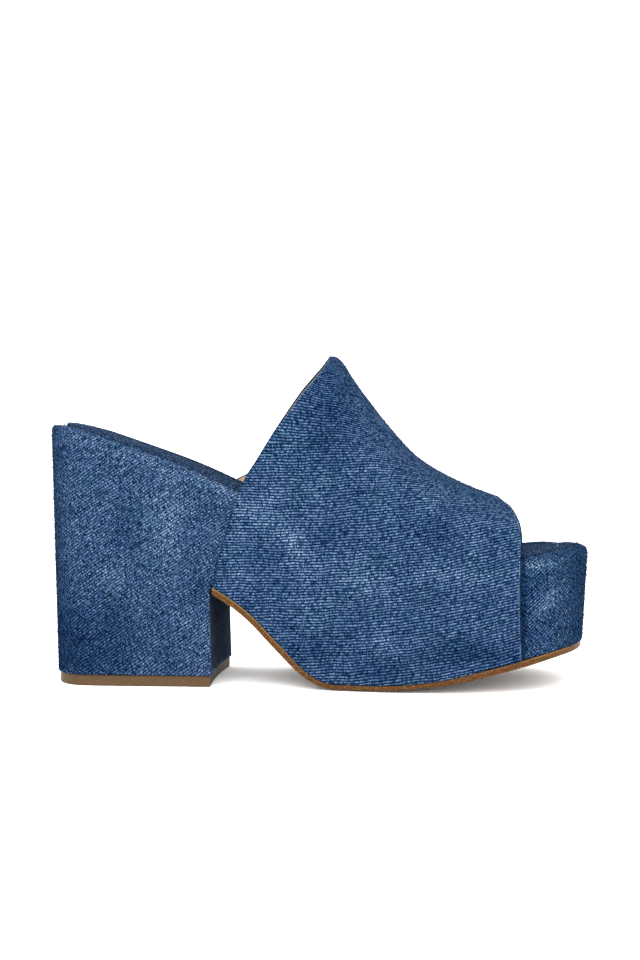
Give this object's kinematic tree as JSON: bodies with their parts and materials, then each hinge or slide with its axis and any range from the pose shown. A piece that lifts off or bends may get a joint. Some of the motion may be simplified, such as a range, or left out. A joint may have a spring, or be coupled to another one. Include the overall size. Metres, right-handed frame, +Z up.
{
  "type": "mule",
  "caption": "Right platform mule in denim with an open toe, a high throat, a tall covered block heel, a covered platform and a thin leather outsole.",
  "frame": {"origin": "on the floor, at the middle of the top lift's underside", "axes": "+X towards the toe, +Y towards the inner side of the foot, +Z up"},
  "size_m": [0.2292, 0.0885, 0.1387],
  "materials": {
    "upper_denim": "washed indigo twill, lined with tan leather",
    "cover_denim": "washed indigo twill stretched over the block",
    "insole_denim": "washed indigo twill, raw edge",
    "sole_leather": "smooth waxed edge",
    "lift_rubber": "satin"
  },
  "bodies": {
    "root": {"upper": "upper_denim", "insole": "insole_denim", "platform": "cover_denim", "heel": "cover_denim", "outsole": "sole_leather", "top_lift": "lift_rubber"}
  },
  "joints": []
}
